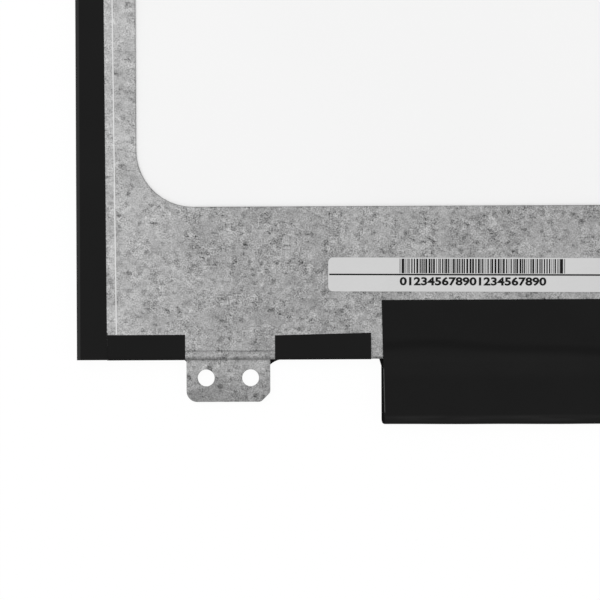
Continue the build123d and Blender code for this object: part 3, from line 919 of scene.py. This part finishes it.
def film_finish():
    finish = Finish("black_film")
    point = finish.place()
    x, y, z = finish.axes(point)
    top = z.between(TOP_FROM, UPPER_LAYER)
    # Painted shade along the crease where the film leaves the plate.
    crease = 1.0 - abs(y - crease_line(x, Wire.cosine)).between(0.1, 1.3)
    # Painted light: a paler band on the shoulder past the plate's edge, and a painted highlight on the
    # roll round the board's edge.
    shoulder = 1.0 - abs(y - (edge_y - SHOULDER_OUTSIDE)).between(0.6, 2.8)
    roll = 1.0 - abs(y - (film_low.y + ROLL_INSIDE)).between(0.25, 0.75)
    streak = finish.cloud(finish.stretched(point, (9.0, 0.8, 1.0)), 1.0, 2.0)
    slow = finish.cloud(point, 9.0, 2.0)
    fine = finish.cloud(point, 0.30, 2.0)
    top_end = film_top_side + END_OUT - END_SLANT * (film_high.y - y) / (film_high.y - film_low.y)
    # Painted highlight along the cut end of the film's upper layer.
    cut = (abs(x) - (top_end - CUT_WIDTH)).between(0.0, 0.05)
    cut = cut * (edge_y - CUT_FROM_PLATE - y).between(0.0, 0.6)
    cut = cut * top * (y - (film_low.y + CUT_FROM_BEND)).between(0.0, 0.5)
    roll = roll * streak.between(0.1, 0.9)
    tone = 1.0 + (SHOULDER_LIGHT * shoulder + ROLL_HIGHLIGHT * roll - FILM_CREASE_SHADE * crease) * top
    grey = FILM_BLACK * (tone + 0.22 * (slow - 0.5) + 0.10 * (fine - 0.5)) + CUT_HIGHLIGHT * cut
    return finish.surface(
        Base_Color=finish.grey(grey),
        Roughness=0.40 + 0.10 * (slow - 0.5) + 0.08 * (fine - 0.5),
        IOR=RUBBERY,
        Normal=finish.bump(fine * 0.4 + streak * 0.6, 0.010, 0.35),
    )


film.data.materials.append(film_finish())
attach(film, "root")
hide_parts("board_cover_film")
print("film rides on the panel")

# %% [markdown]
# ## The label
# A strip of pale paper is stuck on the plate, a little askew. Its print is generic: a row of thin
# and thick bars, one rule along the middle, and a row of counting figures. Bars repeat, so Geometry
# Nodes make them: a random width and gap for each point, and one small block on every point. Paper
# and print are made straight and then turned together.

# %% Paper and ink


def paper_finish():
    finish = Finish("label_paper")
    point = finish.place()
    fibre = finish.cloud(finish.stretched(point, (1.4, 0.5, 1.0), 0.4), 0.5, 3.0)
    slow = finish.cloud(point, 12.0, 2.0)
    return finish.surface(
        Base_Color=finish.grey(0.590 + 0.05 * (slow - 0.5) + 0.03 * (fibre - 0.5)),
        Roughness=0.50 + 0.1 * fibre,
        Specular_IOR_Level=0.3,
        Normal=finish.bump(fibre, 0.004, 0.3),
    )


def ink_finish():
    finish = Finish("label_ink")
    point = finish.place()
    wear = finish.cloud(point, 0.35, 2.0)
    return finish.surface(
        Base_Color=finish.grey(0.006 + 0.014 * wear), Roughness=0.5 + 0.1 * wear, IOR=RUBBERY
    )


ink = ink_finish()

# %% The label's paper
LABEL_TILT = math.radians(-0.42)
PIVOT_FROM_LEFT = 6.0
LABEL_CORNER = 0.85
CORNER_STEPS = 8

label_low, label_high = (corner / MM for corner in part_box("label_strip"))
label_middle = (label_low.y + label_high.y) / 2
pivot = Vector((label_low.x + PIVOT_FROM_LEFT, label_middle, 0.0))
askew = (
    Matrix.Translation(pivot * MM) @ Matrix.Rotation(LABEL_TILT, 4, "Z") @ Matrix.Translation(-pivot * MM)
)


def settle(piece):
    """A finished piece of the label or the board rides on the panel; its name and face count are printed.
    """
    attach(piece, "root")
    print(piece.name, len(piece.data.polygons), "faces")


def on_label(piece):
    """Turns a piece with the label, which was stuck on a little askew."""
    piece.data.transform(askew)
    settle(piece)


def paper_outline():
    """The strip's outline in its lower face: four round corners, joined by straight sides."""
    middle = (label_low + label_high) / 2
    to_corner = (label_high - label_low) / 2 - Vector((LABEL_CORNER, LABEL_CORNER, 0.0))
    for quarter, (side_x, side_y) in enumerate(((1, 1), (-1, 1), (-1, -1), (1, -1))):
        for step in range(CORNER_STEPS + 1):
            angle = (quarter + step / CORNER_STEPS) * math.pi / 2
            x = middle.x + side_x * to_corner.x + LABEL_CORNER * math.cos(angle)
            y = middle.y + side_y * to_corner.y + LABEL_CORNER * math.sin(angle)
            yield Vector((x, y, label_low.z)) * MM


def make_paper():
    mesh = bpy.data.meshes.new("label_paper_strip")
    builder = bmesh.new()
    bottom = builder.faces.new([builder.verts.new(point) for point in paper_outline()])
    raised = bmesh.ops.extrude_face_region(builder, geom=[bottom])["geom"]
    top = [part for part in raised if isinstance(part, bmesh.types.BMVert)]
    bmesh.ops.translate(builder, vec=(0.0, 0.0, (label_high.z - label_low.z) * MM), verts=top)
    bmesh.ops.recalc_face_normals(builder, faces=builder.faces)
    builder.to_mesh(mesh)
    builder.free()
    mesh.materials.append(paper_finish())
    paper = bpy.data.objects.new("label_paper_strip", mesh)
    bpy.context.scene.collection.objects.link(paper)
    return paper


paper = make_paper()
on_label(paper)
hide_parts("label_strip")

# %% A tree of geometry nodes


class Pattern(Nodes):
    """A geometry node tree with named inputs, written with the same helpers as a material."""

    def __init__(self, name, sockets):
        super().__init__(bpy.data.node_groups.new(name, "GeometryNodeTree"))
        for label, kind in sockets.items():
            self.tree.interface.new_socket(label, in_out="INPUT", socket_type=kind)
        self.tree.interface.new_socket("Geometry", in_out="OUTPUT", socket_type="NodeSocketGeometry")
        self.inputs = self.tree.nodes.new("NodeGroupInput")

    def __getitem__(self, label):
        return Wire(self, self.inputs.outputs[label])

    def along(self, x, y=0.0, z=0.0):
        return self.add("ShaderNodeCombineXYZ", {}, {0: x, 1: y, 2: z})

    def finished(self, instances, material):
        """Ends the tree: real mesh in place of instances, and its material."""
        solid = self.add("GeometryNodeRealizeInstances", {}, {0: instances})
        coloured = self.add("GeometryNodeSetMaterial", {}, {"Geometry": solid, "Material": material})
        output = self.tree.nodes.new("NodeGroupOutput")
        self.tree.links.new(coloured.socket, output.inputs[0])

    def build(self, name, **sizes):
        """Runs the tree on an empty piece with these input values and keeps the plain mesh."""
        piece = bpy.data.objects.new(name, bpy.data.meshes.new(name))
        bpy.context.scene.collection.objects.link(piece)
        modifier = piece.modifiers.new(name, "NODES")
        modifier.node_group = self.tree
        for item in self.tree.interface.items_tree:
            if item.in_out == "INPUT" and item.name in sizes:
                modifier[item.identifier] = sizes[item.name]
        return plain_mesh(piece)


# %% Printed bars
INK = 0.008
BAR_COUNT = 76
BAR_SEED = 11
BAR_UNITS = (1, 3)
GAP_UNITS = (1, 2)
THICKER = 3.0
BARS_FROM_LEFT = 11.9
BARS_LENGTH = 27.7
BARS_FROM_TOP = 0.18
BARS_HEIGHT = 2.42


def bar_pattern():
    """Bars of random width along X; the second one from each end is a thick one."""
    pattern = Pattern(
        "printed_bars",
        {
            "Count": "NodeSocketInt",
            "Seed": "NodeSocketInt",
            "Length": "NodeSocketFloat",
            "Height": "NodeSocketFloat",
            "Thickness": "NodeSocketFloat",
            "Corner": "NodeSocketVector",
        },
    )
    points = pattern.add("GeometryNodePoints", {}, {"Count": pattern["Count"]})
    widths, gaps = (
        pattern.add(
            "FunctionNodeRandomValue",
            {"data_type": "INT"},
            {"Min": least, "Max": most, "Seed": pattern["Seed"] + turn},
            "Value",
        )
        for turn, (least, most) in enumerate((BAR_UNITS, GAP_UNITS))
    )
    index = pattern.add("GeometryNodeInputIndex")
    to_middle = abs(index * 2.0 + 1.0 - pattern["Count"])
    second = pattern["Count"] - 3.0
    thick = pattern.add("ShaderNodeMath", {"operation": "COMPARE"}, {0: to_middle, 1: second, 2: 0.5})
    widths = widths + thick * THICKER
    sums = {"Value": widths + gaps}
    before = pattern.add("GeometryNodeAccumulateField", {"data_type": "FLOAT"}, sums, "Trailing")
    total = pattern.add("GeometryNodeAccumulateField", {"data_type": "FLOAT"}, sums, "Total")
    unit = pattern["Length"] / total
    along = (before + widths / 2.0) * unit
    spot = pattern.along(along, pattern["Height"] / -2.0, pattern["Thickness"] / 2.0)
    place = pattern.add("ShaderNodeVectorMath", {"operation": "ADD"}, {0: spot, 1: pattern["Corner"]})
    placed = pattern.add("GeometryNodeSetPosition", {}, {"Geometry": points, "Position": place})
    block = pattern.add("GeometryNodeMeshCube", {}, {"Size": (1.0, 1.0, 1.0)}, "Mesh")
    size = pattern.along(widths * unit, pattern["Height"], pattern["Thickness"])
    bars = pattern.add(
        "GeometryNodeInstanceOnPoints", {}, {"Points": placed, "Instance": block, "Scale": size}
    )
    pattern.finished(bars, ink)
    return pattern


bars = bar_pattern().build(
    "label_bars",
    Count=BAR_COUNT,
    Seed=BAR_SEED,
    Length=BARS_LENGTH * MM,
    Height=BARS_HEIGHT * MM,
    Thickness=INK * MM,
    Corner=(
        (label_low.x + BARS_FROM_LEFT) * MM,
        (label_high.y - BARS_FROM_TOP) * MM,
        label_high.z * MM,
    ),
)
on_label(bars)

# %% Rule and figures
RULE_WIDTH = 0.26
RULE_INSET = 0.18
FIGURES = "012345678901234567890"
FIGURE_HEIGHT = 1.32
FIGURES_LENGTH = 24.4
FIGURES_FROM_MIDDLE = 0.38
FIGURE_BOLD = 0.065
FONT_CAP_SHARE = 0.73


def make_rule():
    half = RULE_WIDTH / 2
    low = Vector((label_low.x + RULE_INSET, label_middle - half, label_high.z)) * MM
    high = Vector((label_high.x - RULE_INSET, label_middle + half, label_high.z + INK)) * MM
    mesh = bpy.data.meshes.new("label_rule")
    builder = bmesh.new()
    bmesh.ops.create_cube(builder, size=1.0)
    bmesh.ops.scale(builder, vec=high - low, verts=builder.verts)
    bmesh.ops.translate(builder, vec=(low + high) / 2, verts=builder.verts)
    builder.to_mesh(mesh)
    builder.free()
    mesh.materials.append(ink)
    rule = bpy.data.objects.new("label_rule", mesh)
    bpy.context.scene.collection.objects.link(rule)
    return rule


def make_figures():
    curve = bpy.data.curves.new("label_figures", "FONT")
    curve.body = FIGURES
    curve.size = FIGURE_HEIGHT / FONT_CAP_SHARE * MM
    curve.offset = FIGURE_BOLD * MM
    curve.extrude = INK / 2 * MM
    curve.resolution_u = 3
    text = bpy.data.objects.new("label_figures", curve)
    bpy.context.scene.collection.objects.link(text)
    graph = bpy.context.evaluated_depsgraph_get()
    mesh = bpy.data.meshes.new_from_object(text.evaluated_get(graph))
    bpy.data.objects.remove(text)
    figures = bpy.data.objects.new("label_figures", mesh)
    bpy.context.scene.collection.objects.link(figures)
    spread = [vertex.co.x for vertex in mesh.vertices]
    tops = [vertex.co.y for vertex in mesh.vertices]
    scale_x = FIGURES_LENGTH * MM / (max(spread) - min(spread))
    start_x = label_low.x + BARS_FROM_LEFT
    start = Vector((start_x, label_middle - FIGURES_FROM_MIDDLE, label_high.z + INK / 2)) * MM
    for vertex in mesh.vertices:
        vertex.co.x = start.x + (vertex.co.x - min(spread)) * scale_x
        vertex.co.y = start.y + vertex.co.y - max(tops)
        vertex.co.z += start.z
    mesh.materials.clear()
    mesh.materials.append(ink)
    return figures


on_label(make_rule())
on_label(make_figures())

# %% [markdown]
# ## Solder at the connector
# Each of the connector's thirty contacts ends in a small foot on the board, held by a fillet of
# solder. They repeat at one pitch, so one low dome is set on every point of a line.

# %% Solder fillets
CONTACT_COUNT = 30
FILLET = (0.36, 0.42, 0.16)
FILLET_LIFT = 0.05


def solder_pattern(solder):
    pattern = Pattern(
        "solder_fillets",
        {
            "Count": "NodeSocketInt",
            "Pitch": "NodeSocketFloat",
            "Size": "NodeSocketVector",
            "First": "NodeSocketVector",
        },
    )
    line = pattern.add(
        "GeometryNodeMeshLine",
        {},
        {
            "Count": pattern["Count"],
            "Start Location": pattern["First"],
            "Offset": pattern.along(pattern["Pitch"]),
        },
    )
    dome = pattern.add("GeometryNodeMeshIcoSphere", {}, {"Radius": 0.5, "Subdivisions": 2}, "Mesh")
    domes = pattern.add(
        "GeometryNodeInstanceOnPoints", {}, {"Points": line, "Instance": dome, "Scale": pattern["Size"]}
    )
    pattern.finished(domes, solder)
    return pattern


contacts_low, contacts_high = (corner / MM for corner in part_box("connector_contacts"))
board_top_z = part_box("control_board")[1].z / MM
solder = metal_finish("solder", rgb(0.62, 0.62, 0.60), 0.22)
pitch = (contacts_high.x - contacts_low.x) / (CONTACT_COUNT - 0.5)
fillets = solder_pattern(solder).build(
    "solder_fillets",
    Count=CONTACT_COUNT,
    Pitch=pitch * MM,
    Size=tuple(part * MM for part in FILLET),
    First=(
        (contacts_low.x + pitch / 4) * MM,
        (contacts_high.y - FILLET[1] / 3) * MM,
        (board_top_z + FILLET_LIFT) * MM,
    ),
)
settle(fillets)

# %% [markdown]
# ## Sizes, and the end
# The dressed panel keeps to the solid model's box, but for the soft film, which swells a fraction of
# a millimetre past it. The last line prints how far the box's corners moved.

# %% Write the sizes and finish
dressed_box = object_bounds()
growth = [round((b - a) / MM, 3) for corners in zip(cad_box, dressed_box) for a, b in zip(*corners)]
print("the box's corners moved by", growth, "mm")
